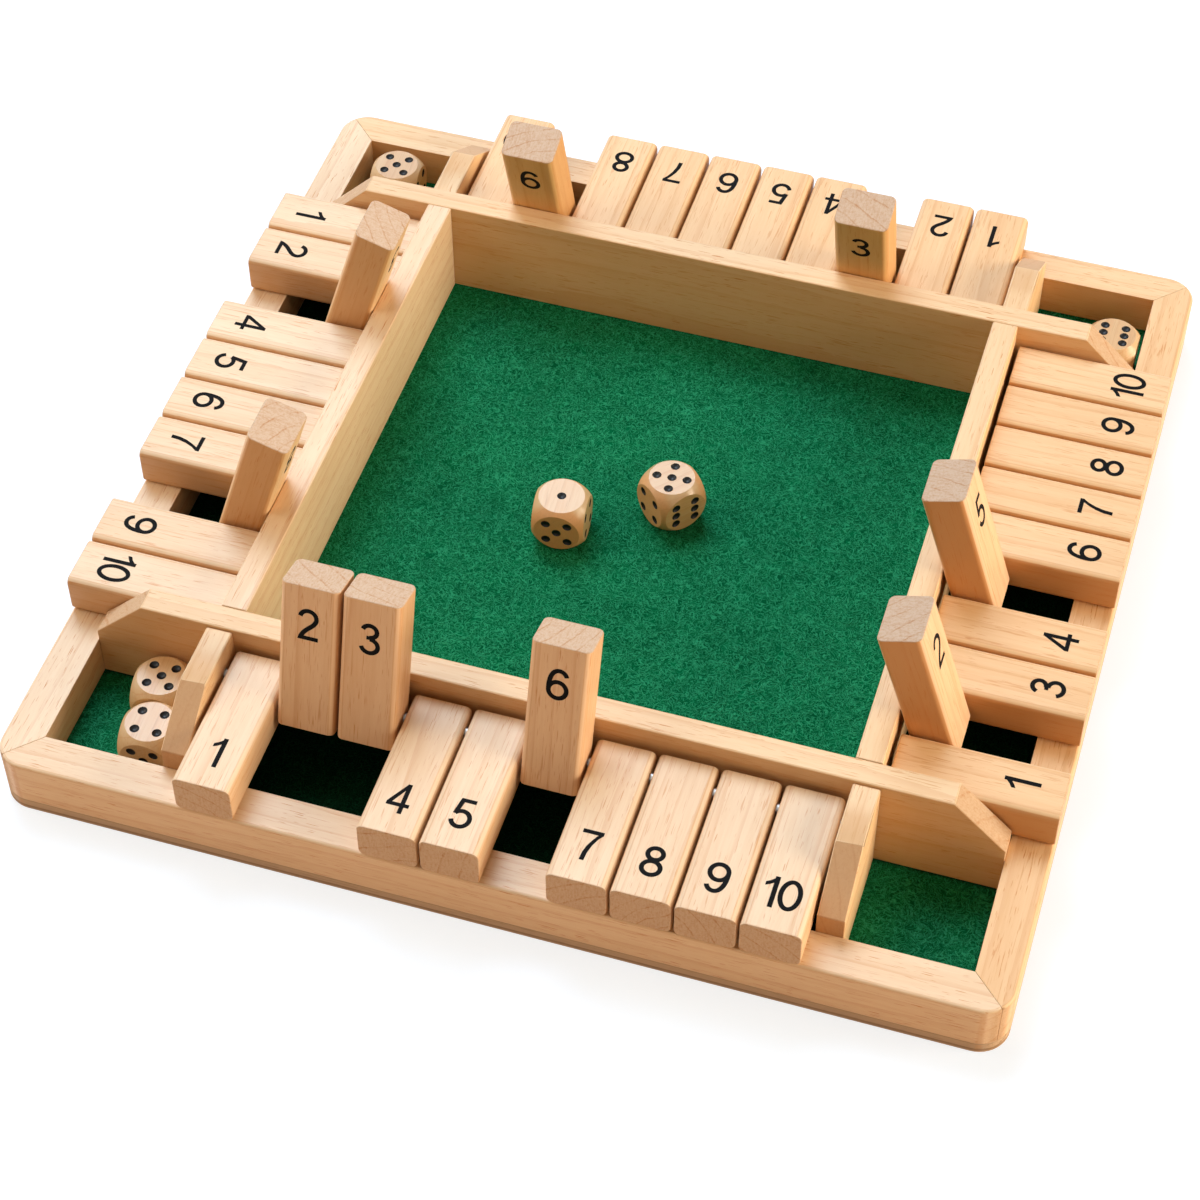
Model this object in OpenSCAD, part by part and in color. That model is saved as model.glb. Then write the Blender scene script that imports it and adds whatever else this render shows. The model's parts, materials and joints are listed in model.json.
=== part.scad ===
// Four-player shut the box: a square wooden board with a felt-lined dice tray
// in the middle, four dice pockets in the corners and a row of ten numbered
// tiles on each side. Every row turns on its own steel rod.
// The origin is the centre of the underside, +Z is up and +Y is the back.

/* [Base] */
// Thickness of the plywood base
base_t = 4; // [3:0.5:8]
// Thickness of the felt lining
felt_t = 2; // [1:0.5:3]
// Radius of the board's upright corners
corner_r = 9; // [3:0.5:12]

/* [Rails] */
// Width of the outer rails
rail_w = 12; // [9:0.5:13.5]
// Height of the rails above the base
rail_h = 15.5; // [14:0.5:24]
// Rounding of the rails' outer top edges
rail_ease = 1; // [0.5:0.25:2.5]

/* [Tray walls] */
// Thickness of the tray walls
wall_t = 7.8; // [6.6:0.2:10]
// Height of the tray walls above the rails
wall_rise = 19.5; // [17:0.5:24]
// Size of the 45 degree cut at the ends of the long walls
wall_cut = 15.5; // [8:0.5:19]
// Rounding of the top edges of walls and dividers
wall_ease = 0.6; // [0.2:0.1:1.5]

/* [Dividers] */
// Thickness of the dividers between tiles and pockets
divider_t = 7.8; // [6.6:0.2:10]
// Drop of the dividers' tops below the wall tops
divider_drop = 1; // [0:0.5:3]
// Length of the slanting cut at a divider's outer end
divider_cut_l = 17.4; // [8:0.2:20]
// Depth of the slanting cut at a divider's outer end
divider_cut_h = 11.5; // [4:0.5:13]

/* [Tiles] */
// Width of a tile
tile_w = 17; // [15:0.5:20]
// Thickness of a tile
tile_t = 13; // [11:0.5:15]
// Rounding of a tile's long edges
tile_edge_r = 2; // [0.5:0.25:3.5]
// Gap between a flat tile and the tray wall
tile_wall_gap = 1.5; // [1.3:0.1:3]
// Gap between neighbouring tiles of the left and right rows
side_row_gap = 0.6; // [0.4:0.1:1.5]
// Gap between neighbouring tiles of the front and back rows
long_row_gap = 0.8; // [0.4:0.1:1.5]
// Gap between the left and right rows' end tiles and the long walls
side_end_gap = 0.6; // [0.4:0.1:2]
// Gap between the front and back rows' end tiles and the dividers
long_end_gap = 1; // [0.4:0.1:2]
// Clearance between a raised tile and the wall edge that it leans on
lean_clear = 0.15; // [0.1:0.05:0.5]

/* [Rods] */
// Diameter of the steel rods
rod_d = 3; // [2:0.1:4]
// Radial clearance around the rods
rod_clear = 0.05; // [0.02:0.01:0.1]
// Distance from a tray wall's outer face to the rod's axis
rod_from_wall = 7.5; // [7:0.1:12]
// Depth of the rod's axis below the top of a flat tile
rod_below_top = 4; // [3.2:0.1:4.3]
// Depth of the blind holes that hold the rod ends
rod_seat = 5; // [3:0.5:5.5]
// Play at each end of a rod
rod_end_play = 0.1; // [0.05:0.05:0.3]

/* [Dice and pockets] */
// Width of a die
die_w = 16; // [12:0.5:17]
// Diameter of the flat circle that is left on each face of a die
die_flat_d = 14; // [11:0.5:15]
// Diameter of a pip
pip_d = 2.8; // [1.5:0.1:3]
// Depth of a pip
pip_depth = 0.7; // [0.3:0.1:1]
// Distance of the outer pips from the middle of a face
pip_reach = 3.3; // [2.6:0.1:3.6]
// Gap between a die and the wood or the die that it lies against
die_gap = 0.4; // [0.3:0.05:0.8]
// Room that is left in a pocket beside two dice in line
pocket_room = 4.9; // [2.6:0.1:12]

/* [Hidden] */
$fn = 64;
TILES = 10;
ROWS = ["back", "left", "front", "right"];
RAISED = [[3, 9], [3, 8], [2, 3, 6], [2, 5]];

// A cutter reaches this far past the face that it cuts
over = 1;

// Distances from the centre of the board. The side rows set the size of the
// tray, two dice set the width of a pocket, and the tiles end flush with the
// board's edge
side_row_l = TILES * tile_w + (TILES - 1) * side_row_gap;
long_row_l = TILES * tile_w + (TILES - 1) * long_row_gap;
wall_in = side_row_l / 2 + side_end_gap;
wall_out = wall_in + wall_t;
rail_in = wall_out + 2 * die_w + pocket_room;
board_half = rail_in + rail_w;
tile_in = wall_out + tile_wall_gap;
tile_l = board_half - tile_in;
divider_in = long_row_l / 2 + long_end_gap;
divider_out = divider_in + divider_t;

// Heights above the underside
felt_top = base_t + felt_t;
rail_top = base_t + rail_h;
wall_top = rail_top + wall_rise;
divider_top = wall_top - divider_drop;
tile_top = rail_top + tile_t;

// The rod that a row turns on
rod_line = wall_out + rod_from_wall;
rod_z = tile_top - rod_below_top;

// A raised tile leans past upright until its top face reaches the wall's edge
lean_across = rod_from_wall + wall_ease;
lean_up = wall_top - rod_z - wall_ease;
lean_to = rod_below_top + wall_ease + lean_clear;
lean_reach = norm([lean_across, lean_up]);
lean = acos(lean_to / lean_reach) - atan2(lean_up, lean_across);
raised_turn = 90 + lean;

// Places of the two dice in the tray: x, y and turn
TRAY_DICE = [[-21.6, -5.5, 5], [7.9, 11.4, -42]];
// Turns of the pocket dice
near_turn = 3;
far_turn = 3.6;
back_left_turn = 3;
// How far the pocket dice lie from the divider, the wall or the rail
far_from_divider = 3.6;
back_left_from_rail = [5, 3.5];
back_right_from_rail = 1.2;
back_right_from_wall = 7.3;

function tile_name(row, k) = str("tile_", ROWS[row], k < 10 ? "_0" : "_", k);
function is_raised(row, k) = len([for (n = RAISED[row]) if (n == k) n]) > 0;
function row_gap(row) = row % 2 == 0 ? long_row_gap : side_row_gap;

// Half the width, along X or Y, that a die covers when it is turned
function die_half(turn) = die_w / 2 * cos(turn) + die_flat_d / 2 * sin(abs(turn));

// ---- Sections and blanks -------------------------------------------------

// A rectangle that stands on the X axis, with its two top corners rounded
module eased_section(w, h, r) {
    translate([-w / 2, 0]) square([w, h - r]);
    translate([r - w / 2, 0]) square([w - 2 * r, h]);
    for (side = [-1, 1]) {
        translate([side * (w / 2 - r), h - r]) circle(r);
    }
}

// A rectangle about the origin with all four corners rounded
module rounded_section(w, h, r) {
    square([w - 2 * r, h], center = true);
    square([w, h - 2 * r], center = true);
    for (x = [-1, 1], y = [-1, 1]) {
        translate([x * (w / 2 - r), y * (h / 2 - r)]) circle(r);
    }
}

// A bar along X with eased top edges, standing on z = 0
module eased_bar(l, w, h, r) {
    rotate([90, 0, 90]) linear_extrude(l, center = true) eased_section(w, h, r);
}

// A square block the size of the board, with round corners and eased top edges
module eased_block(h) {
    straight = 2 * (board_half - corner_r);
    for (turn = [0, 90]) {
        rotate([0, 0, turn]) eased_bar(straight, 2 * board_half, h, rail_ease);
    }
    for (x = [-1, 1], y = [-1, 1]) {
        translate([x, y, 0] * straight / 2) rotate_extrude() intersection() {
            eased_section(2 * corner_r, h, rail_ease);
            square([corner_r, h]);
        }
    }
}

// Turns a piece drawn for the back row into the same piece of another row
module in_row(row) {
    rotate([0, 0, 90 * row]) children();
}

// ---- Base, felt and rails ------------------------------------------------

module base_board() {
    color("tan") linear_extrude(base_t) {
        rounded_section(2 * board_half, 2 * board_half, corner_r);
    }
}

module felt_lining() {
    color("darkgreen") translate([-rail_in, -rail_in, base_t]) {
        cube([2 * rail_in, 2 * rail_in, felt_t]);
    }
}

// One side of the mitred frame that the flat tiles rest on
module rail(row) {
    mitre = board_half + over;
    color("burlywood") in_row(row) translate([0, 0, base_t]) difference() {
        intersection() {
            eased_block(rail_h);
            linear_extrude(rail_h) polygon([[0, 0], [mitre, mitre], [-mitre, mitre]]);
        }
        translate([-rail_in, -rail_in, -over]) {
            cube([2 * rail_in, 2 * rail_in, rail_h + 2 * over]);
        }
    }
}

// ---- Tray walls and dividers ---------------------------------------------

// The waste above the slanting end of a piece that runs along X to the rail
module end_cut(l, h, top, thickness) {
    rotate([90, 0, 0]) linear_extrude(thickness + 2 * over, center = true) polygon([
        [rail_in - l, top],
        [rail_in, top - h],
        [rail_in + over, top - h],
        [rail_in + over, top + over],
        [rail_in - l, top + over]
    ]);
}

// A blind hole for a rod's end: it starts at z = 0 and runs upwards
module rod_hole() {
    translate([0, 0, -over]) {
        cylinder(r = rod_d / 2 + rod_clear, h = over + rod_seat + rod_end_play);
    }
}

// A long wall runs from rail to rail and holds one end of each side rod
module long_wall(row) {
    color("burlywood") in_row(row) difference() {
        translate([0, wall_in + wall_t / 2, felt_top]) {
            eased_bar(2 * rail_in, wall_t, wall_top - felt_top, wall_ease);
        }
        for (side = [0, 1]) mirror([side, 0, 0]) {
            translate([0, wall_in + wall_t / 2, 0]) {
                end_cut(wall_cut, wall_cut, wall_top, wall_t);
            }
            translate([rod_line, wall_in, rod_z]) rotate([-90, 0, 0]) rod_hole();
        }
    }
}

// A side wall fits between the two long walls
module side_wall(row) {
    color("burlywood") in_row(row) translate([0, wall_in + wall_t / 2, felt_top]) {
        eased_bar(2 * wall_in, wall_t, wall_top - felt_top, wall_ease);
    }
}

// Two dividers stand between a long wall and its rail, beside the end tiles
module dividers(row) {
    run = rail_in - wall_out;
    color("burlywood") in_row(row) for (side = [0, 1]) mirror([side, 0, 0]) difference() {
        translate([divider_in + divider_t / 2, 0, 0]) rotate([0, 0, 90]) difference() {
            translate([wall_out + run / 2, 0, felt_top]) {
                eased_bar(run, divider_t, divider_top - felt_top, wall_ease);
            }
            end_cut(divider_cut_l, divider_cut_h, divider_top, divider_t);
        }
        translate([divider_in, rod_line, rod_z]) rotate([0, 90, 0]) rod_hole();
    }
}

// ---- Rods and tiles ------------------------------------------------------

// The pair of rods that run along two opposite rows, between seats at y = face
module rods(first_row, face) {
    color("silver") for (row = [first_row, first_row + 2]) {
        in_row(row) translate([0, rod_line, rod_z]) rotate([0, 90, 0]) {
            cylinder(d = rod_d, h = 2 * (face + rod_seat), center = true);
        }
    }
}

// A flat tile of the back row, in the middle of the row
module tile() {
    difference() {
        translate([0, tile_in, rail_top + tile_t / 2]) rotate([-90, 0, 0]) {
            linear_extrude(tile_l) rounded_section(tile_w, tile_t, tile_edge_r);
        }
        translate([0, rod_line, rod_z]) rotate([0, 90, 0]) {
            cylinder(r = rod_d / 2 + rod_clear, h = tile_w + 2 * over, center = true);
        }
    }
}

// Tile number k of a row, counted from the left as its own player sees it
module row_tile(row, k) {
    along = (tile_w + row_gap(row)) * ((TILES + 1) / 2 - k);
    turn = is_raised(row, k) ? raised_turn : 0;
    color("wheat") in_row(row) translate([along, rod_line, rod_z]) {
        rotate([turn, 0, 0]) translate([0, -rod_line, -rod_z]) tile();
    }
}

// ---- Dice ----------------------------------------------------------------

// The pips of one face, about the origin of a die's upper face
module pips(count) {
    dish_r = (pow(pip_d / 2, 2) + pow(pip_depth, 2)) / (2 * pip_depth);
    p = pip_reach;
    middle = count % 2 == 1 ? [[0, 0]] : [];
    slope = count > 1 ? [[p, p], [-p, -p]] : [];
    corners = count > 3 ? [[p, -p], [-p, p]] : [];
    sides = count == 6 ? [[p, 0], [-p, 0]] : [];
    for (place = concat(middle, slope, corners, sides)) {
        translate([place[0], place[1], dish_r - pip_depth]) sphere(dish_r);
    }
}

// A die that stands on the felt, named by the pips on three of its faces
module die(top, front, right, turn) {
    faces = [
        [top, [0, 0, 0]],
        [7 - top, [180, 0, 0]],
        [front, [90, 0, 0]],
        [7 - front, [90, 0, 180]],
        [right, [90, 0, 90]],
        [7 - right, [90, 0, -90]]
    ];
    color("bisque") translate([0, 0, felt_top + die_w / 2]) rotate([0, 0, turn]) {
        difference() {
            intersection() {
                cube(die_w, center = true);
                sphere(norm([die_w, die_flat_d]) / 2);
            }
            for (face = faces) {
                rotate(face[1]) translate([0, 0, die_w / 2]) pips(face[0]);
            }
        }
    }
}

module die_tray_left() {
    place = TRAY_DICE[0];
    translate([place[0], place[1], 0]) die(1, 5, 4, place[2]);
}

module die_tray_right() {
    place = TRAY_DICE[1];
    translate([place[0], place[1], 0]) die(5, 4, 6, place[2]);
}

far_y = -(wall_out + die_gap + die_half(far_turn));

module die_front_left_far() {
    x = -(divider_out + far_from_divider + die_half(far_turn));
    translate([x, far_y, 0]) die(5, 3, 6, far_turn);
}

module die_front_left_near() {
    x = -(divider_out + die_gap + die_half(near_turn));
    translate([x, far_y - die_w - die_gap, 0]) die(4, 5, 6, near_turn);
}

module die_back_left() {
    inset = rail_in - die_half(back_left_turn);
    place = [back_left_from_rail[0] - inset, inset - back_left_from_rail[1], 0];
    translate(place) die(5, 6, 4, back_left_turn);
}

module die_back_right() {
    x = rail_in - back_right_from_rail - die_w / 2;
    y = wall_out + back_right_from_wall + die_w / 2;
    translate([x, y, 0]) die(6, 5, 3, 0);
}

// ---- Drawing -------------------------------------------------------------

base_board();
felt_lining();
rail(0);  // back_rail
rail(1);  // left_rail
rail(2);  // front_rail
rail(3);  // right_rail
long_wall(0);  // back_wall
side_wall(1);  // left_wall
long_wall(2);  // front_wall
side_wall(3);  // right_wall
dividers(0);  // back_dividers
dividers(2);  // front_dividers
rods(0, divider_in);  // long_row_rods
rods(1, wall_in);  // side_row_rods
for (row = [0:3], k = [1:TILES]) {
    row_tile(row, k);
}
die_tray_left();
die_tray_right();
die_front_left_near();
die_front_left_far();
die_back_left();
die_back_right();
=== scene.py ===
"""A shut the box game for four players: a square wooden board with a felt tray,
four rows of ten numbered tiles that tip over on rods, and six wooden dice."""

import json
import math
import random
from functools import partial, reduce

import bmesh
import bpy
from bpy.props import FloatProperty, FloatVectorProperty, IntProperty, PointerProperty
from mathutils import Matrix, Vector
from mathutils.geometry import delaunay_2d_cdt
from mathutils.noise import noise as noise_at


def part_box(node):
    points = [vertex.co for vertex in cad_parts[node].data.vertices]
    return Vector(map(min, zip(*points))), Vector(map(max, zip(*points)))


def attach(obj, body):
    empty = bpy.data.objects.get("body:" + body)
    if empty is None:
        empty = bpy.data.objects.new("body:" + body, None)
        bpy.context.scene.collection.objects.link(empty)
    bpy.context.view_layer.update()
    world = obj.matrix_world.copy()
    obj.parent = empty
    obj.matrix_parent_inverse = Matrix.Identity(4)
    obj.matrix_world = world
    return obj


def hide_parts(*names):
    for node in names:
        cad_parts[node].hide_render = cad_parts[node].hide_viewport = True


bl_info = {
    "name": "Shut the Box Game",
    "version": (1, 0, 0),
    "blender": (4, 5, 0),
    "location": "3D View > Sidebar > Shut the Box",
    "description": "Finishes for a wooden shut the box game and the studio it stands in",
    "category": "Object",
}

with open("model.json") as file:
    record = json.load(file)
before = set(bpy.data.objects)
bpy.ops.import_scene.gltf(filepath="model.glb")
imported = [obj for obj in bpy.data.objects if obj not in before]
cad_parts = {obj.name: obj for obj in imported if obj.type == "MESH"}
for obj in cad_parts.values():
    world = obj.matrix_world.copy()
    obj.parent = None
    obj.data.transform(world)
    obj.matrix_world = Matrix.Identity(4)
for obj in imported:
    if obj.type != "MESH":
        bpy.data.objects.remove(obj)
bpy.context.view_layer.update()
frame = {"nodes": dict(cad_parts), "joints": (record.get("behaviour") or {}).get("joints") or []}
NODES = frame["nodes"]
JOINTS = {joint["child"]: joint for joint in frame["joints"]}

MM = 0.001
PER_METRE = 1000.0
UP = Vector((0, 0, 1))
UNTINTED = (1.0, 1.0, 1.0)

ROWS = ("back", "left", "front", "right")
RAILS = tuple(f"{row}_rail" for row in ROWS)
WALLS = tuple(f"{row}_wall" for row in ROWS)
DIVIDERS = ("back_dividers", "front_dividers")
RODS = ("long_row_rods", "side_row_rods")
NUMBERS = range(1, 11)

# Tints that paint light and shade: the front and left boards and flat tiles are painted paler where
# more light falls, the right rail and the flat back and right rows yellower, and the raised tiles
# darker and warmer where they stand in shade
BOARD_LIGHT_TINTS = {
    "front_rail": "cream_tint", "left_rail": "cream_tint", "left_wall": "cream_tint",
    "right_rail": "straw_tint",
}
FLAT_TILE_LIGHT_TINTS = {
    "back": "straw_tint", "left": "cream_tint", "front": "cream_tint", "right": "straw_tint",
}
RAISED_TILE_SHADE_TINTS = {
    "back": "amber_tint", "left": "straw_tint", "front": "toffee_tint", "right": "toffee_tint",
}
DIVIDER_END_TINT = (0.86, 0.66, 0.46)
BOARD_END_TINT = (0.95, 0.89, 0.78)

# The eased edge of a rail, as a share of that of the other boards
RAIL_EASE = 0.5

# How much painted shade, in the side colour, the narrow sides take
BOARD_SIDE_SHADE = {"back_wall": 0.45, "front_wall": 0.45, "back_rail": 0.75, "left_rail": 0.3}
TILE_SIDE_SHADE = {"back": 0.30, "left": 0.60, "front": 0.30, "right": 0.90}

# The tiles that stand raised at rest
RAISED = {"back": (3, 9), "left": (3, 8), "front": (2, 3, 6), "right": (2, 5)}

# The one tile whose upper print is the other way up
TURNED_PRINT = ("back", 3)

# Colour of the painted shade on the felt of the wells under the rows, and how softly it ends
WELL_PAINTED_SHADE = (0.001, 0.004, 0.002)
WELL_BLUR = 2 * MM

# Place and size in metres, and colour, of each lamp
LAMPS = {
    "key": ((-0.62, 0.95, 1.75), 1.15, (0.66, 0.81, 1.0)),
    "side": ((1.45, 0.0, 0.42), 0.8, (1.0, 0.84, 0.63)),
    "fill": ((-0.75, -0.12, 0.65), 0.6, (1.0, 0.90, 0.76)),
}

# Half the floor's width, and what its seen colour gets against the warmth of the lamps
FLOOR_REACH = 4.0
FLOOR_LIFT = (0.03, 0.09, 0.17)

# Seeds of the random draws for each kind of piece
BOARD_SEED, TILE_SEED, DIE_SEED, FIBRE_SEED = 100, 300, 500, 11

# How far each die is turned about its upright axis, in degrees
DIE_TURNS = {
    "die_tray_left": 5.0,
    "die_tray_right": -42.0,
    "die_front_left_near": 3.0,
    "die_front_left_far": 3.6,
    "die_back_left": 3.0,
    "die_back_right": 0.0,
}

# How much painted shade, in the amber colour, the cut ends of a die take: the two in the tray, and
# the others
DIE_END_SHADE = {"die_tray_left": 1.0, "die_tray_right": 0.8}
OTHER_DIE_END_SHADE = 0.15

# A face of a die belongs to a pip where it lies between these depths under a flat face,
# and within this share of the flat circle
PIP_MARGIN, PIP_DEPTH, PIP_SPREAD = 0.004 * MM, 0.9 * MM, 0.97


# ---------------------------------------------------------------- settings


def colour_property(name, description, default):
    """A colour that a user can change in the sidebar."""
    return FloatVectorProperty(
        name=name, description=description, default=default, subtype="COLOR", size=3, min=0, max=1
    )


def length_property(name, description, default):
    """A length in metres that a user can change in the sidebar."""
    return FloatProperty(
        name=name, description=description, default=default, subtype="DISTANCE", unit="LENGTH",
        min=0, precision=5,
    )


def share_property(name, description, default):
    """A share from 0 to 1 that a user can change in the sidebar."""
    return FloatProperty(
        name=name, description=description, default=default, subtype="FACTOR", min=0, max=1
    )


def power_property(name, description, default):
    """The power of a lamp in watts, which a user can change in the sidebar."""
    return FloatProperty(
        name=name, description=description, default=default, subtype="POWER", unit="POWER", min=0
    )


class SHUTBOX_PG_wood(bpy.types.PropertyGroup):
    """Colours and sizes of the light hardwood"""

    pale: colour_property("Pale wood", "Wood between the growth rings", (0.88, 0.645, 0.39))
    honey: colour_property("Honey wood", "Darker streaks along the grain", (0.77, 0.495, 0.255))
    fleck: colour_property("Flecks", "Short dark dashes along the grain", (0.58, 0.215, 0.05))
    # The side colour paints shade on the narrow sides of the boards and tiles, and the shade line
    # where an eased edge starts
    side: colour_property("Tile sides", "Narrow sides of a strip", (0.62, 0.31, 0.12))
    end_pale: colour_property("End grain", "Ends cut across the grain", (0.65, 0.485, 0.345))
    end_dark: colour_property("End rings", "Growth rings on the cut ends", (0.50, 0.25, 0.11))
    # These tints paint light and shade: cream makes the front and left paler where more light
    # falls, and straw, toffee and amber paint shade on the raised tiles
    cream_tint: colour_property("Cream tint", "Tint of the palest strips", (0.99, 1.05, 1.20))
    straw_tint: colour_property("Straw tint", "Tint of the yellower strips", (0.98, 0.93, 0.88))
    toffee_tint: colour_property("Toffee tint", "Tint of the browner strips", (0.98, 0.94, 1.02))
    amber_tint: colour_property("Amber tint", "Tint of the warmest strips", (0.86, 0.72, 0.50))
    ring_gap: length_property("Ring spacing", "Distance between growth rings", 0.0044)
    edge_ease: length_property("Eased edge", "Width of the eased edge at a cut end", 0.0004)
    satin: share_property("Satin", "Roughness of the clear finish", 0.42)


class SHUTBOX_PG_plywood(bpy.types.PropertyGroup):
    """Colours of the plywood base"""

    light_ply: colour_property("Light ply", "Outer plies of the base", (0.62, 0.46, 0.31))
    dark_ply: colour_property("Dark ply", "Middle ply of the base", (0.31, 0.19, 0.10))
    edge_ease: length_property("Eased edge", "Width of the eased edge of the base", 0.0003)


class SHUTBOX_PG_felt(bpy.types.PropertyGroup):
    """Colours and sizes of the felt lining"""

    deep: colour_property("Deep green", "Colour between the fibres", (0.0, 0.055, 0.019))
    green: colour_property("Green", "Colour of the felt", (0.001, 0.135, 0.047))
    bright: colour_property("Bright fibres", "Colour of the fibres on top", (0.034, 0.38, 0.175))
    width: length_property("Cut width", "Width and length that the sheet is cut to", 0.266)
    # Well shade: how much painted shade darkens the felt in the wells under the tiles
    well: share_property("Well shade", "How dark the felt is stained under the tiles", 0.85)
    hollow: length_property("Hollows", "Depth of the soft hollows in the felt", 0.00018)
    fibre_count: IntProperty(
        name="Loose fibres", description="Loose curled fibres on the felt", default=16000, min=0
    )


class SHUTBOX_PG_numeral(bpy.types.PropertyGroup):
    """Size and colour of the printed numbers"""

    height: length_property("Height", "Height of a number", 0.0101)
    stroke: share_property("Stroke", "Width of a stroke as a share of the height", 0.131)
    foot: length_property("Distance from end", "From the free end of a tile to a number", 0.007)
    film: length_property("Ink film", "How far the ink stands proud of the wood", 0.00003)
    ink: colour_property("Ink", "Colour of the print", (0.002, 0.002, 0.002))


class SHUTBOX_PG_dice(bpy.types.PropertyGroup):
    """Colours and sizes of the dice"""

    pale: colour_property("Pale wood", "Wood of the dice", (0.66, 0.45, 0.225))
    honey: colour_property("Warm wood", "Streaks in the dice", (0.60, 0.31, 0.12))
    # The amber colour paints shade on the cut ends of the dice
    amber: colour_property("Amber ends", "Cut ends of the warmer dice", (0.68, 0.345, 0.135))
    paint: colour_property("Pips", "Paint in the pips", (0.003, 0.003, 0.003))
    flat_circle: length_property("Flat face", "Diameter of the flat circle on a face", 0.014)


class SHUTBOX_PG_rod(bpy.types.PropertyGroup):
    """Finish of the steel rods"""

    steel: colour_property("Steel", "Colour of the rods", (0.62, 0.61, 0.58))


class SHUTBOX_PG_studio(bpy.types.PropertyGroup):
    """Camera, lamps and floor"""

    camera_place: FloatVectorProperty(
        name="Camera place", description="Where the camera stands", subtype="TRANSLATION",
        unit="LENGTH", size=3, default=(0.163808, -0.562471, 0.661610),
    )
    camera_turn: FloatVectorProperty(
        name="Camera turn", description="How the camera is turned", subtype="EULER",
        unit="ROTATION", size=3, default=(0.70644, 0.00224, 0.29936),
    )
    lens: FloatProperty(
        name="Lens", description="Focal length in millimetres", default=86.799, min=1
    )
    key_power: power_property("Key lamp", "Power of the high lamp", 40.5)
    side_power: power_property("Side lamp", "Power of the low lamp on the right", 24.5)
    fill_power: power_property("Fill lamp", "Power of the low lamp on the left", 4.0)
    ceiling: colour_property("Ceiling", "Even light from above", (0.23, 0.145, 0.075))
    horizon: colour_property("Horizon", "Even light from the sides", (0.12, 0.062, 0.025))
    bounce: colour_property("Bounce", "Light that the floor gives back", (1.0, 0.72, 0.47))
    glow: share_property("Floor glow", "How much of the floor's white is its own", 0.75)


class SHUTBOX_PG_game(bpy.types.PropertyGroup):
    """Everything that a user can change on the game"""

    wood: PointerProperty(type=SHUTBOX_PG_wood)
    plywood: PointerProperty(type=SHUTBOX_PG_plywood)
    felt: PointerProperty(type=SHUTBOX_PG_felt)
    numeral: PointerProperty(type=SHUTBOX_PG_numeral)
    dice: PointerProperty(type=SHUTBOX_PG_dice)
    rod: PointerProperty(type=SHUTBOX_PG_rod)
    studio: PointerProperty(type=SHUTBOX_PG_studio)


# ------------------------------------------------------------ node helpers


def plug(tree, value, socket):
    """Links another node's socket, or sets a plain value."""
    if isinstance(value, bpy.types.NodeSocket):
        tree.links.new(value, socket)
    elif socket.type == "RGBA" and len(value) == 3:
        socket.default_value = (*value, 1.0)
    else:
        socket.default_value = value


def number_of(tree, operation, *values, clamp=False):
    """The result of a Math node."""
    node = tree.nodes.new("ShaderNodeMath")
    node.operation = operation
    node.use_clamp = clamp
    for value, socket in zip(values, node.inputs):
        plug(tree, value, socket)
    return node.outputs["Value"]


def vector_of(tree, operation, *values):
    """The result of a Vector Math node."""
    node = tree.nodes.new("ShaderNodeVectorMath")
    node.operation = operation
    for value, socket in zip(values, node.inputs):
        plug(tree, value, socket)
    return node.outputs["Value" if operation == "LENGTH" else "Vector"]


def product_of(tree, *values):
    """Numbers multiplied with one another."""
    return reduce(partial(number_of, tree, "MULTIPLY"), values)


def highest_of(tree, *values):
    """The highest of some numbers."""
    return reduce(partial(number_of, tree, "MAXIMUM"), values)


def weighted_sum(tree, first, *others):
    """Numbers added up, each with its own weight."""
    total = product_of(tree, *first)
    for value, weight in others:
        total = number_of(tree, "MULTIPLY_ADD", value, weight, total)
    return total


def blend_colours(tree, share, first, second):
    """A colour between two colours."""
    node = tree.nodes.new("ShaderNodeMix")
    node.data_type = "RGBA"
    node.clamp_factor = True
    plug(tree, share, node.inputs["Factor"])
    plug(tree, first, node.inputs[6])
    plug(tree, second, node.inputs[7])
    return node.outputs[2]


def step_between(tree, value, low, high, to_low=0.0, to_high=1.0):
    """A soft step from to_low to to_high while the value goes from low to high."""
    node = tree.nodes.new("ShaderNodeMapRange")
    node.interpolation_type = "SMOOTHSTEP"
    settings = (value, low, high, to_low, to_high)
    for setting, name in zip(settings, ("Value", "From Min", "From Max", "To Min", "To Max")):
        plug(tree, setting, node.inputs[name])
    return node.outputs["Result"]


def noise_of(tree, vector, seed, detail=2.0, roughness=0.5):
    """A noise texture; its Color output is three noises at once."""
    node = tree.nodes.new("ShaderNodeTexNoise")
    node.noise_dimensions = "4D"
    plug(tree, vector, node.inputs["Vector"])
    plug(tree, seed, node.inputs["W"])
    node.inputs["Scale"].default_value = 1.0
    node.inputs["Detail"].default_value = detail
    node.inputs["Roughness"].default_value = roughness
    return node.outputs


def stretched_noise(tree, place, seed, stretch, *settings):
    """Noise stretched along each axis by its own amount."""
    return noise_of(tree, vector_of(tree, "MULTIPLY", place, stretch), seed, *settings)


def about_zero(tree, noise, reach):
    """A vector of three noises, brought about zero and made as large as its reach."""
    middle = vector_of(tree, "SUBTRACT", noise["Color"], (0.5, 0.5, 0.5))
    return vector_of(tree, "MULTIPLY", middle, reach)


def split(tree, vector):
    """The three parts of a vector."""
    node = tree.nodes.new("ShaderNodeSeparateXYZ")
    plug(tree, vector, node.inputs["Vector"])
    return node.outputs["X"], node.outputs["Y"], node.outputs["Z"]


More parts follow.
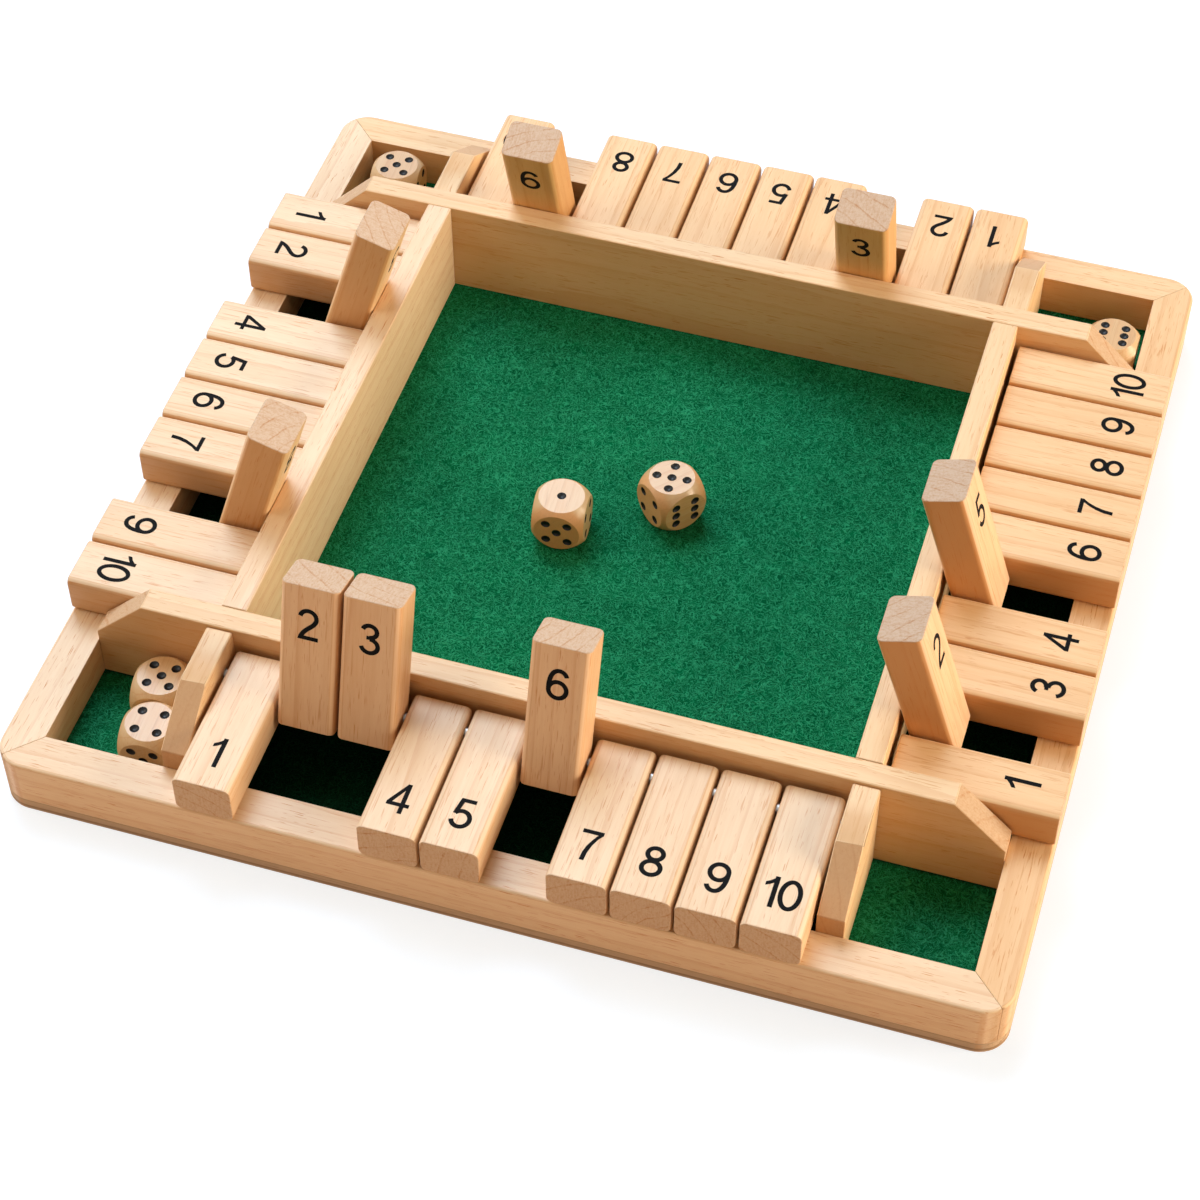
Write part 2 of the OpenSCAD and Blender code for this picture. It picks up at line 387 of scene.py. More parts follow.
def new_group(name, inputs, outputs):
    """An empty shader node group: its tree, its inputs and its outputs."""
    tree = bpy.data.node_groups.new(name, "ShaderNodeTree")
    for socket_name, kind, default in inputs:
        socket = tree.interface.new_socket(
            name=socket_name, in_out="INPUT", socket_type=f"NodeSocket{kind}"
        )
        if default is not None:
            socket.default_value = (*default, 1.0) if kind == "Color" else default
    for socket_name, kind in outputs:
        tree.interface.new_socket(
            name=socket_name, in_out="OUTPUT", socket_type=f"NodeSocket{kind}"
        )
    entry = tree.nodes.new("NodeGroupInput")
    leave = tree.nodes.new("NodeGroupOutput")
    return tree, entry.outputs, leave.inputs


def new_material(name):
    """A material, its tree and its Principled BSDF."""
    material = bpy.data.materials.new(name)
    material.use_nodes = True
    return material, material.node_tree, material.node_tree.nodes["Principled BSDF"]


def place_group(tree, group_name, **values):
    """A node group in a material, with its inputs set or linked."""
    node = tree.nodes.new("ShaderNodeGroup")
    node.node_tree = bpy.data.node_groups[group_name]
    for name, value in values.items():
        plug(tree, value, node.inputs[name.replace("_", " ")])
    return node.outputs


def board_place(tree, per_metre):
    """Position on the board in metres, and enlarged for a fine texture."""
    coordinates = tree.nodes.new("ShaderNodeTexCoord").outputs["Object"]
    place = tree.nodes.new("ShaderNodeMapping")
    place.inputs["Scale"].default_value = (per_metre, per_metre, per_metre)
    tree.links.new(coordinates, place.inputs["Vector"])
    return coordinates, place.outputs["Vector"]


def grain_vectors(tree, turn, centre):
    """Position in millimetres and face normal, both with Y along the grain."""
    coordinates = tree.nodes.new("ShaderNodeTexCoord")
    place = tree.nodes.new("ShaderNodeMapping")
    facing = tree.nodes.new("ShaderNodeMapping")
    facing.vector_type = "VECTOR"
    for node, output in ((place, "Object"), (facing, "Normal")):
        node.inputs["Rotation"].default_value = turn.to_euler("XYZ")
        tree.links.new(coordinates.outputs[output], node.inputs["Vector"])
    place.inputs["Scale"].default_value = (PER_METRE, PER_METRE, PER_METRE)
    place.inputs["Location"].default_value = -(turn @ Vector(centre)) * PER_METRE
    return place.outputs["Vector"], facing.outputs["Vector"]


def add_bump(tree, shader, height, strength, distance):
    """Small relief on a surface."""
    bump = tree.nodes.new("ShaderNodeBump")
    bump.inputs["Strength"].default_value = strength
    bump.inputs["Distance"].default_value = distance
    tree.links.new(height, bump.inputs["Height"])
    tree.links.new(bump.outputs["Normal"], shader.inputs["Normal"])


# ------------------------------------------------------------- node groups


def build_timber_group():
    """Solid wood cut from a log: rings, streaks, flecks and cut ends, with a painted highlight on
    eased edges and painted shade on the narrow sides.
    """
    tree, given, result = new_group(
        "Timber",
        [
            ("Grain Vector", "Vector", None),
            ("Face Normal", "Vector", None),
            ("Pith", "Vector", (35.0, 0.0, 28.0)),
            ("Seed", "Float", 0.0),
            ("Tone", "Float", 0.0),
            ("Ring Gap", "Float", 2.6),
            ("Fleck Amount", "Float", 1.0),
            ("Pale", "Color", (0.88, 0.645, 0.39)),
            ("Honey", "Color", (0.77, 0.495, 0.255)),
            ("Fleck", "Color", (0.58, 0.215, 0.05)),
            ("Side", "Color", (0.62, 0.31, 0.12)),
            # Side Warmth: how much painted shade the narrow sides take
            ("Side Warmth", "Float", 0.0),
            ("End Pale", "Color", (0.64, 0.475, 0.36)),
            ("End Dark", "Color", (0.50, 0.25, 0.11)),
            ("Satin", "Float", 0.42),
        ],
        [("Colour", "Color"), ("Roughness", "Float"), ("Height", "Float")],
    )
    place = given["Grain Vector"]
    step, blend, times = (partial(tool, tree) for tool in (step_between, blend_colours, product_of))
    noise = partial(stretched_noise, tree, place, given["Seed"])

    # Rings about the pith, made uneven by a slow wobble and a fine tremble
    from_pith = vector_of(tree, "SUBTRACT", place, given["Pith"])
    from_pith = vector_of(tree, "MULTIPLY", from_pith, (1.0, 0.0, 1.0))
    for stretch, reach in (((0.035, 0.006, 0.035), 9.0), ((0.6, 0.02, 0.6), 0.9)):
        sway = about_zero(tree, noise(stretch), (reach, 0.0, reach))
        from_pith = vector_of(tree, "ADD", from_pith, sway)
    ring = number_of(tree, "DIVIDE", vector_of(tree, "LENGTH", from_pith), given["Ring Gap"])
    phase = number_of(tree, "FRACT", ring)
    late_wood = step(phase, 0.35, 0.97)
    ring_line = step(phase, 0.80, 0.98)

    # Streaks that run along the grain, from fine to broad
    streak = noise((1.5, 0.09, 1.5), 3.0, 0.65)["Fac"]
    band = noise((0.34, 0.011, 0.34))["Fac"]
    drift = noise((0.05, 0.014, 0.05))["Fac"]

    # Flecks: short dark dashes, gathered in places
    fleck_noise = noise((3.6, 0.21, 3.6), 0.5)["Fac"]
    gather = step(noise((0.2, 0.05, 0.2))["Fac"], 0.40, 0.60, 0.30, 1.0)
    dash = times(step(fleck_noise, 0.675, 0.725), gather, given["Fleck Amount"])

    # Hairlines: long thin lines where a stretched noise passes its middle value
    hair_noise = noise((0.55, 0.022, 0.55), 1.5)["Fac"]
    hair = number_of(tree, "ABSOLUTE", number_of(tree, "SUBTRACT", hair_noise, 0.5))
    hair = times(step(hair, 0.022, 0.004), step(fleck_noise, 0.48, 0.60))
    line = times(highest_of(tree, hair, times(ring_line, 0.4)), 0.45)
    dash_share = highest_of(tree, times(dash, 0.60), line)

    # Colour of the long faces
    warm = weighted_sum(
        tree, (step(streak, 0.38, 0.64), 0.20), (step(band, 0.38, 0.66), 0.26),
        (step(drift, 0.3, 0.7), 0.22), (late_wood, 0.16),
    )
    warm = number_of(tree, "ADD", warm, given["Tone"], clamp=True)
    long_face = blend(warm, given["Pale"], given["Honey"])

    # Colour of the cut ends: rings with fine pores and rays
    pores = noise((1.7, 1.0, 1.7), 3.0, 0.75)["Fac"]
    rays = noise((2.2, 1.0, 0.5), 1.0)["Fac"]
    end_ring = times(step(phase, 0.86, 0.97), step(band, 0.40, 0.60, 0.3, 1.0))
    end_share = weighted_sum(
        tree, (end_ring, 0.60), (step(pores, 0.44, 0.64), 0.34), (step(rays, 0.46, 0.62), 0.22)
    )
    end_face = blend(end_share, given["End Pale"], given["End Dark"])

    # Which face this is: a cut end, a narrow side, or an eased edge between two faces
    parts = vector_of(tree, "ABSOLUTE", vector_of(tree, "NORMALIZE", given["Face Normal"]))
    across, along, through = split(tree, parts)
    is_end = step(along, 0.36, 0.62)
    is_side = step(across, 0.70, 0.82)
    widest = highest_of(tree, across, along, through)
    not_end = number_of(tree, "SUBTRACT", 1.0, is_end)
    rim = times(step(widest, 0.985, 0.93), not_end)

    # Painted shade in the side colour on the narrow sides, then flecks on every long face, then the
    # ends
    long_face = blend(times(is_side, given["Side Warmth"]), long_face, given["Side"])
    long_face = blend(dash_share, long_face, given["Fleck"])
    colour = blend(is_end, long_face, end_face)

    # An eased edge gets a painted highlight towards the pale colour, and a thin painted shade line
    # in the side colour where it starts
    painted_edge_highlight = times(rim, number_of(tree, "MULTIPLY_ADD", is_side, -0.6, 0.6))
    colour = blend(painted_edge_highlight, colour, given["Pale"])
    # Painted shade: a thin line in the side colour where the rounding of an eased edge starts
    start = times(step(widest, 0.998, 0.985), step(widest, 0.93, 0.965), not_end, 0.35)
    colour = blend(start, colour, given["Side"])
    tree.links.new(colour, result["Colour"])

    # Cut ends are duller and eased edges are smoother
    rough = number_of(tree, "MULTIPLY_ADD", streak, 0.12, given["Satin"])
    rough = number_of(tree, "MULTIPLY_ADD", is_end, 0.22, rough)
    rough = number_of(tree, "MULTIPLY_ADD", rim, -0.10, rough)
    tree.links.new(rough, result["Roughness"])

    height = number_of(tree, "MULTIPLY_ADD", streak, 0.3, times(dash, -0.02))
    height = number_of(tree, "MULTIPLY_ADD", times(pores, is_end), 1.2, height)
    tree.links.new(height, result["Height"])


def build_nap_group():
    """Felt: swirling fibres with painted shade beside them, over a darker ground."""
    tree, given, result = new_group(
        "Felt Nap",
        [
            ("Place", "Vector", None),
            ("Seed", "Float", 0.0),
            ("Deep", "Color", (0.004, 0.105, 0.045)),
            ("Green", "Color", (0.012, 0.19, 0.085)),
            ("Bright", "Color", (0.075, 0.36, 0.20)),
        ],
        [("Colour", "Color"), ("Height", "Float")],
    )
    place, seed = given["Place"], given["Seed"]
    deep, green, bright = given["Deep"], given["Green"], given["Bright"]
    step, blend, times = (partial(tool, tree) for tool in (step_between, blend_colours, product_of))

    def noise(scale, *settings):
        """Noise of one scale, the same in all directions."""
        return stretched_noise(tree, place, seed, (scale, scale, scale), *settings)

    warped = vector_of(tree, "ADD", place, about_zero(tree, noise(0.16, 2.0), (16.0, 16.0, 16.0)))

    def strands(scale, shift, thin):
        """Thin winding lines where a noise passes its middle value, each with a painted shade line
        beside it.
        """
        spot = vector_of(tree, "MULTIPLY_ADD", warped, (scale, scale, scale), (shift, shift, shift))
        away = number_of(tree, "SUBTRACT", noise_of(tree, spot, seed, 1.0)["Fac"], 0.5)
        beside = number_of(tree, "ABSOLUTE", number_of(tree, "SUBTRACT", away, thin * 1.6))
        line = step(number_of(tree, "ABSOLUTE", away), thin, thin * 0.25)
        return line, step(beside, thin, thin * 0.3)

    # Three sizes of strands; the two larger ones take turns over the felt
    broken = noise(1.1, 1.0)["Fac"]
    coarse, coarse_shade = strands(0.40, 0.0, 0.040)
    middle, middle_shade = strands(0.58, 17.0, 0.048)
    small, small_shade = strands(0.90, 41.0, 0.060)
    coarse = times(coarse, step(broken, 0.44, 0.54))
    middle = times(middle, step(broken, 0.54, 0.44))
    fibre = highest_of(tree, coarse, middle, times(small, 0.6))
    # Painted shade beside the strands, blended towards the deep green
    shade = highest_of(tree, coarse_shade, middle_shade, small_shade)

    clump = noise(0.12, 3.0)["Fac"]
    grain = noise(3.0, 2.0)["Fac"]
    ground = blend(step(clump, 0.3, 0.7, 0.45, 1.0), deep, green)
    ground = blend(times(shade, 0.5), ground, deep)
    ground = blend(step(grain, 0.45, 0.8, 0.0, 0.10), ground, bright)
    tree.links.new(blend(times(fibre, 0.7), ground, bright), result["Colour"])
    height = number_of(tree, "SUBTRACT", fibre, times(shade, 0.6))
    height = number_of(tree, "MULTIPLY_ADD", grain, 0.5, height)
    tree.links.new(height, result["Height"])


def build_speck_group():
    """Fine uneven tone, for paint, ink and steel."""
    tree, given, result = new_group(
        "Fine Speck",
        [
            ("Place", "Vector", None),
            ("Seed", "Float", 0.0),
            ("Dark", "Color", (0.01, 0.01, 0.01)),
            ("Light", "Color", (0.03, 0.03, 0.03)),
        ],
        [("Colour", "Color"), ("Value", "Float")],
    )
    speck = noise_of(tree, given["Place"], given["Seed"], 3.0, 0.65)["Fac"]
    share = step_between(tree, speck, 0.35, 0.70)
    tree.links.new(blend_colours(tree, share, given["Dark"], given["Light"]), result["Colour"])
    tree.links.new(share, result["Value"])


# --------------------------------------------------------------- materials


def tinted(colour, tint):
    """A colour seen through a tint."""
    return [part * share for part, share in zip(colour, tint)]


def shaded(colour, share):
    """A colour made darker, or lighter where the share is over 1."""
    return [part * share for part in colour]


def timber_surface(tree, shader, timber, strength, depth):
    """Gives a wooden surface the roughness and the relief of its timber."""
    tree.links.new(timber["Roughness"], shader.inputs["Roughness"])
    add_bump(tree, shader, timber["Height"], strength, depth)


def clear_coat(shader, weight, roughness):
    """A thin coat of clear finish."""
    shader.inputs["Coat Weight"].default_value = weight
    shader.inputs["Coat Roughness"].default_value = roughness


def timber_material(name, turn, wood, seed, tint=UNTINTED, painted_side_shade=0.0, flecks=1.0,
                    end_tint=UNTINTED):
    """Wood for one node: the turn brings the grain of the node onto Y."""
    chance = random.Random(seed)
    material, tree, shader = new_material(f"wood_{name}")
    place, facing = grain_vectors(tree, turn, centre_of(name))
    pith = (chance.choice((-1, 1)) * chance.uniform(12, 40), 0.0, chance.uniform(-45, -8))
    timber = place_group(
        tree, "Timber", Grain_Vector=place, Face_Normal=facing, Pith=pith,
        Seed=chance.uniform(0, 90), Tone=chance.uniform(-0.16, 0.14),
        Ring_Gap=wood.ring_gap / MM * chance.uniform(0.75, 1.5), Fleck_Amount=flecks,
        Pale=tinted(wood.pale, tint), Honey=tinted(wood.honey, tint), Fleck=wood.fleck,
        Side=wood.side, Side_Warmth=painted_side_shade,
        End_Pale=tinted(wood.end_pale, end_tint), End_Dark=wood.end_dark, Satin=wood.satin,
    )
    tree.links.new(timber["Colour"], shader.inputs["Base Color"])
    timber_surface(tree, shader, timber, 0.35, 0.12 * MM)
    shader.inputs["Specular IOR Level"].default_value = 0.25
    clear_coat(shader, 0.08, 0.25)
    return material


def speck_material(name, per_metre, seed, dark, light, roughness):
    """An even finish with a fine speck: ink, paint or steel."""
    material, tree, shader = new_material(name)
    place = board_place(tree, per_metre)[1]
    made = place_group(tree, "Fine Speck", Place=place, Seed=seed, Dark=dark, Light=light)
    tree.links.new(made["Colour"], shader.inputs["Base Color"])
    tree.links.new(step_between(tree, made["Value"], 0, 1, *roughness), shader.inputs["Roughness"])
    return material, shader


def grain_turn(grain):
    """The turn that brings the direction of the grain onto Y."""
    across = grain.cross(UP).normalized()
    through = across.cross(grain).normalized()
    return Matrix((across, grain, through))


def board_grain(name):
    """The grain of a rail or wall follows its length, and a divider's runs outward."""
    if name in DIVIDERS:
        return Vector((0, 1, 0))
    low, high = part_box(name)
    return Vector((1, 0, 0)) if high.x - low.x > high.y - low.y else Vector((0, 1, 0))


def outward_of(row):
    """The direction from the tray to one side of the board."""
    return Matrix.Rotation(math.radians(90) * ROWS.index(row), 3, "Z") @ Vector((0, 1, 0))


def tile_grain(row, number):
    """The grain of a tile runs from its rod to its free end, at right angles to its broad faces."""
    sideways = outward_of(row).cross(UP)
    polygons = NODES[tile_name(row, number)].data.polygons
    broad = [polygon for polygon in polygons if abs(polygon.normal.dot(sideways)) < 0.01]
    face = max(broad, key=lambda polygon: polygon.area)
    grain = face.normal.cross(sideways).normalized()
    toward = outward_of(row) + 2 * UP
    return grain if grain.dot(toward) > 0 else -grain


def centre_of(name):
    """The middle of a node's box."""
    low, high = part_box(name)
    return (low + high) / 2


def build_joined_faces():
    """Geometry nodes that join separate faces and let them shade as one surface."""
    tree = bpy.data.node_groups.new("Joined Faces", "GeometryNodeTree")
    tree.interface.new_socket(name="Geometry", in_out="INPUT", socket_type="NodeSocketGeometry")
    tree.interface.new_socket(name="Geometry", in_out="OUTPUT", socket_type="NodeSocketGeometry")
    entry = tree.nodes.new("NodeGroupInput")
    merge = tree.nodes.new("GeometryNodeMergeByDistance")
    merge.inputs["Distance"].default_value = 0.002 * MM
    clear = tree.nodes.new("GeometryNodeRemoveAttribute")
    clear.inputs["Name"].default_value = "custom_normal"
    shade = tree.nodes.new("GeometryNodeSetShadeSmooth")
    leave = tree.nodes.new("NodeGroupOutput")
    chain = (entry, merge, clear, shade, leave)
    for first, second in zip(chain, chain[1:]):
        tree.links.new(first.outputs[0], second.inputs[0])


def ease_edges(node, width):
    """Joins a node's faces and eases the sharp edges that are left."""
    join_faces = node.modifiers.new("Joined faces", "NODES")
    join_faces.node_group = bpy.data.node_groups["Joined Faces"]
    flat = node.modifiers.new("Whole faces", "DECIMATE")
    flat.decimate_type = "DISSOLVE"
    flat.angle_limit = math.radians(1.0)
    ease = node.modifiers.new("Eased edges", "BEVEL")
    ease.width = width
    ease.segments = 2
    ease.limit_method = "ANGLE"
    ease.angle_limit = math.radians(40)
    ease.use_clamp_overlap = False
    shade = node.modifiers.new("Even shading", "WEIGHTED_NORMAL")
    shade.weight = 100
    shade.keep_sharp = False


def dress(node, materials):
    """Gives a node its materials, one for each slot."""
    node.data.materials.clear()
    for material in materials:
        node.data.materials.append(material)


# ------------------------------------------------------------ mesh helpers


def mesh_piece(name, points, faces, material, smooth=False):
    """A new mesh object with one material."""
    mesh = bpy.data.meshes.new(name)
    mesh.from_pydata([tuple(point) for point in points], [], faces)
    mesh.validate()
    mesh.update()
    mesh.materials.append(material)
    for polygon in mesh.polygons:
        polygon.use_smooth = smooth
    piece = bpy.data.objects.new(name, mesh)
    bpy.context.scene.collection.objects.link(piece)
    return piece


# ----------------------------------------------------------------- numbers


def arc(centre, radii, start, end, steps):
    """Points on an ellipse between two angles in degrees."""
    points = []
    for step in range(steps + 1):
        angle = math.radians(start + (end - start) * step / steps)
        x, y = math.cos(angle) * radii[0], math.sin(angle) * radii[1]
        points.append((centre[0] + x, centre[1] + y))
    return points


def bend(first, second, third, fourth, steps=10):
    """Points on a curve from the first point to the fourth."""
    points = []
    for step in range(steps + 1):
        t = step / steps
        weights = ((1 - t) ** 3, 3 * t * (1 - t) ** 2, 3 * t * t * (1 - t), t**3)
        spots = (first, second, third, fourth)
        points.append(tuple(sum(w * p[axis] for w, p in zip(weights, spots)) for axis in (0, 1)))
    return points


def band(points, width, closed=False):
    """Quads of one width along a line of points."""
    count = len(points)
    sides = []
    for index, point in enumerate(points):
        before = points[(index - 1) % count] if closed or index else point
        after = points[(index + 1) % count] if closed or index < count - 1 else point
        first = Vector(point) - Vector(before)
        second = Vector(after) - Vector(point)
        first = first.normalized() if first.length else second.normalized()
        second = second.normalized() if second.length else first
        tangent = (first + second).normalized()
        stretch = 1 / max(0.5, tangent.dot(first))
        side = Vector((-tangent.y, tangent.x)) * (width / 2 * stretch)
        sides.append((Vector(point) + side, Vector(point) - side))
    last = count if closed else count - 1
    quads = []
    for index in range(last):
        left, right = sides[index]
        next_left, next_right = sides[(index + 1) % count]
        quads.append([left, right, next_right, next_left])
    return quads


def bowl(centre, size, pen, start, end, steps):
    """A pen's line that just fits inside an ellipse, between two angles."""
    return arc(centre, (size[0] - pen / 2, size[1] - pen / 2), start, end, steps)


def oval(centre, size, pen, steps):
    """A closed ring that just fits inside an ellipse."""
    return band(bowl(centre, size, pen, 0, 360, steps)[:-1], pen, True)


def bar(left, right, low, high):
    """A rectangle."""
    return [(left, low), (right, low), (right, high), (left, high)]


def digit_shapes(digit, pen):
    """The polygons that make one digit, one unit high, drawn with a pen of one width."""
    flat = pen * 0.95  # a level stroke is a little thinner
    if digit == "0":
        return oval((0.32, 0.5), (0.32, 0.5), pen, 36)
    if digit == "1":
        flag = [
            (0.345 + pen, 1.0), (0.385, 1.0), (0.33, 0.915), (0.235, 0.83), (0.13, 0.772),
            (0.13, 0.652), (0.24, 0.705), (0.35, 0.785),
        ]
        return [bar(0.345, 0.345 + pen, 0, 1), flag]
    if digit == "2":
        line = bowl((0.315, 0.705), (0.30, 0.295), pen, 172, -38, 16)
        line += bend(line[-1], (0.44, 0.44), (0.19, 0.33), (0.10, 0.06))[1:]
        return band(line, pen) + [[(0.02, 0), (0.61, 0), (0.61, flat), (0.05, flat)]]
    if digit == "3":
        upper = bowl((0.30, 0.745), (0.27, 0.255), pen, 166, -90, 16)
        lower = bowl((0.305, 0.285), (0.305, 0.285), pen, 90, -168, 18)
        return band(upper, pen) + band(lower, pen) + [bar(0.21, 0.34, 0.485, 0.60)]
    if digit == "4":
        slope = [(0.0, 0.335), (0.14, 0.335), (0.40, 0.80), (0.47, 1.0), (0.40, 1.0)]
        return [bar(0.385, 0.51, 0, 1), bar(0.0, 0.64, 0.225, 0.345), slope]
    if digit == "5":
        side = [(0.055, 0.475), (0.18, 0.46), (0.275, 0.93), (0.25, 1.0), (0.15, 1.0)]
        lower = bowl((0.315, 0.325), (0.315, 0.325), pen, 142, -166, 22)
        return band(lower, pen) + [bar(0.15, 0.58, 1 - flat, 1), side]
    if digit == "6":
        back = bend((0.01 + pen / 2, 0.34), (0.065, 0.72), (0.17, 0.935), (0.345, 0.935))
        back += arc((0.345, 0.72), (0.215, 0.215), 90, 12, 8)[1:]
        return oval((0.325, 0.32), (0.315, 0.32), pen, 28) + band(back, pen)
    if digit == "7":
        right = [(0.61, 1.0), (0.61, 0.90), (0.50, 0.745), (0.40, 0.52), (0.335, 0.26), (0.315, 0)]
        left = [(0.185, 0), (0.205, 0.26), (0.27, 0.50), (0.365, 0.70), (0.47, 0.88)]
        return [bar(0.03, 0.61, 1 - flat, 1), right + left]
    if digit == "8":
        lower = oval((0.32, 0.285), (0.315, 0.285), pen, 30)
        return oval((0.32, 0.745), (0.275, 0.255), pen, 28) + lower
    return [[(0.64 - x, 1 - y) for x, y in shape] for shape in digit_shapes("6", pen)]


def number_outline(number, pen):
    """Triangles of a whole number, one unit high and centred on X."""
    shifts = (-0.13, 0.40) if number > 9 else (0.0,)  # where each digit starts
    shapes = []
    for digit, shift in zip(str(number), shifts):
        shapes += [[(x + shift, y) for x, y in shape] for shape in digit_shapes(digit, pen)]
    points = []
    faces = []
    for shape in shapes:
        ring = [Vector((x, y)) for x, y in shape]
        area = sum(a.x * b.y - b.x * a.y for a, b in zip(ring, ring[1:] + ring[:1]))
        if area < 0:
            ring.reverse()
        faces.append(list(range(len(points), len(points) + len(ring))))
        points += ring
    spots, _, cells, _, _, owners = delaunay_2d_cdt(points, [], faces, 0, 1e-6, True)
    kept = [cell for cell, owner in zip(cells, owners) if owner]
    middle = (min(p.x for p in points) + max(p.x for p in points)) / 2
    return [Vector((spot.x - middle, spot.y)) for spot in spots], kept


def ink_solid(points, faces, film):
    """A thin solid over flat faces, half of it below the surface."""
    build = bmesh.new()
    made = [build.verts.new((point.x, point.y, film)) for point in points]
    for face in faces:
        build.faces.new([made[index] for index in face])
    for loose in [vertex for vertex in build.verts if not vertex.link_faces]:
        build.verts.remove(loose)
    bmesh.ops.dissolve_limit(
        build, angle_limit=math.radians(1), verts=build.verts[:], edges=build.edges[:]
    )
    build.normal_update()
    build.verts.index_update()
    spots = [vertex.co.copy() for vertex in build.verts]
    tops = []
    for face in build.faces:
        ring = [vertex.index for vertex in face.verts]
        tops.append(ring if face.normal.z > 0 else ring[::-1])
    build.free()

    # The lower faces mirror the upper ones, and a side stands under every outer edge
    layer = len(spots)
    spots += [Vector((spot.x, spot.y, -film)) for spot in spots]
    rings = tops + [[index + layer for index in reversed(top)] for top in tops]
    edges = [edge for top in tops for edge in zip(top, top[1:] + top[:1])]
    for here, after in edges:
        if (after, here) not in edges:
            rings.append([here, here + layer, after + layer, after])
    return spots, rings


# --------------------------------------------------------------- operators


class SHUTBOX_OT_finishes(bpy.types.Operator):
    """Builds the effects that several finishes share"""

    bl_idname = "shutbox.finishes"
    bl_label = "Shared Finishes"

    def execute(self, context):
        build_timber_group()
        build_nap_group()
        build_speck_group()
        build_joined_faces()
        return {"FINISHED"}


class SHUTBOX_OT_board(bpy.types.Operator):
    """Finishes the rails, the tray walls and the dividers"""

    bl_idname = "shutbox.board"
    bl_label = "Rails, Walls and Dividers"

    def execute(self, context):
        wood = context.scene.shut_the_box.wood
        for index, name in enumerate(RAILS + WALLS + DIVIDERS):
            node = NODES[name]
            turn = grain_turn(board_grain(name))
            # Painted light: the front and left boards are tinted paler
            tint = getattr(wood, BOARD_LIGHT_TINTS[name]) if name in BOARD_LIGHT_TINTS else UNTINTED
            end_tint = DIVIDER_END_TINT if name in DIVIDERS else BOARD_END_TINT
            material = timber_material(
                name, turn, wood, BOARD_SEED + index, tint, BOARD_SIDE_SHADE.get(name, 0.0),
                flecks=1.5, end_tint=end_tint,
            )
            dress(node, [material])
            ease_edges(node, wood.edge_ease * (RAIL_EASE if name in RAILS else 1.0))
        return {"FINISHED"}


class SHUTBOX_OT_tiles(bpy.types.Operator):
    """Finishes the forty tiles, each cut from its own strip of wood"""

    bl_idname = "shutbox.tiles"
    bl_label = "Tiles"

    def execute(self, context):
        wood = context.scene.shut_the_box.wood
        for index, (row, number) in enumerate(every_tile()):
            name = tile_name(row, number)
            node = NODES[name]
            turn = grain_turn(tile_grain(row, number))
            # Painted shade on the raised tiles, and painted light on the flat front and left rows
            tints = RAISED_TILE_SHADE_TINTS if number in RAISED[row] else FLAT_TILE_LIGHT_TINTS
            tint = getattr(wood, tints[row])
            seed = TILE_SEED + index
            dress(node, [timber_material(name, turn, wood, seed, tint, TILE_SIDE_SHADE[row])])
            ease_edges(node, wood.edge_ease)
        return {"FINISHED"}


def every_tile():
    """Every row and number."""
    return [(row, number) for row in ROWS for number in NUMBERS]


def tile_name(row, number):
    """The name of a tile's node and of the body that it turns on."""
    return f"tile_{row}_{number:02d}"


class SHUTBOX_OT_numbers(bpy.types.Operator):
    """Prints the numbers on both broad faces of every tile"""

    bl_idname = "shutbox.numbers"
    bl_label = "Numbers"

    def execute(self, context):
        style = context.scene.shut_the_box.numeral
        material = ink_material(style)
        solids = {}
        for number in NUMBERS:
            points, faces = number_outline(number, style.stroke)
            points = [point * style.height for point in points]
            solids[number] = ink_solid(points, faces, style.film)
        for row, number in every_tile():
            name = tile_name(row, number)
            spots, rings = solids[number]
            points = []
            faces = []
            for place in print_places(row, number, style):
                faces += [[index + len(points) for index in ring] for ring in rings]
                points += [place @ spot for spot in spots]
            piece = mesh_piece(f"number_{row}_{number:02d}", points, faces, material)
            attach(piece, name)
        return {"FINISHED"}


def print_places(row, number, style):
    """Where the two prints of a number lie on its tile, as it stands at rest."""
    joint = JOINTS[tile_name(row, number)]
    pin = Vector(joint["pos_m"])
    outward = outward_of(row)
    right = UP.cross(outward)
    low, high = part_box("tile_front_05")  # a tile that lies flat and points along -Y
    end = pin + outward * (-low.y - outward.dot(pin))
    end.z = high.z
    near = end - outward * style.foot
    far = near - outward * style.height
    # The upper print stands with its foot by the free end, the lower one with its head there
    upper = frame_of(right, -outward, near)
    if (row, number) == TURNED_PRINT:
        upper = frame_of(-right, outward, far)
    places = [upper, frame_of(right, outward, far - UP * (high.z - low.z))]
    if number in RAISED[row]:
        angle = outward.angle(tile_grain(row, number))
        raised = Matrix.Rotation(angle, 4, Vector(joint["axis"]))
        stand = Matrix.Translation(pin) @ raised @ Matrix.Translation(-pin)
        places = [stand @ place for place in places]
    return places


def frame_of(right, up, origin):
    """A print's frame: its right, its up and the direction it faces."""
    facing = right.cross(up)
    rotation = Matrix((right, up, facing)).transposed().to_4x4()
    return Matrix.Translation(origin) @ rotation


def ink_material(style):
    """Matt black print that lets a little of the grain through."""
    light = [part * 2.0 + 0.002 for part in style.ink]
    material, shader = speck_material("printed_ink", 900.0, 3.0, style.ink, light, (0.55, 0.7))
    shader.inputs["Specular IOR Level"].default_value = 0.06
    return material


class SHUTBOX_OT_base(bpy.types.Operator):
    """Finishes the plywood base"""

    bl_idname = "shutbox.base"
    bl_label = "Base"

    def execute(self, context):
        plywood = context.scene.shut_the_box.plywood
        base = NODES["base_board"]
        dress(base, [plywood_material(plywood)])
        ease_edges(base, plywood.edge_ease)
        return {"FINISHED"}


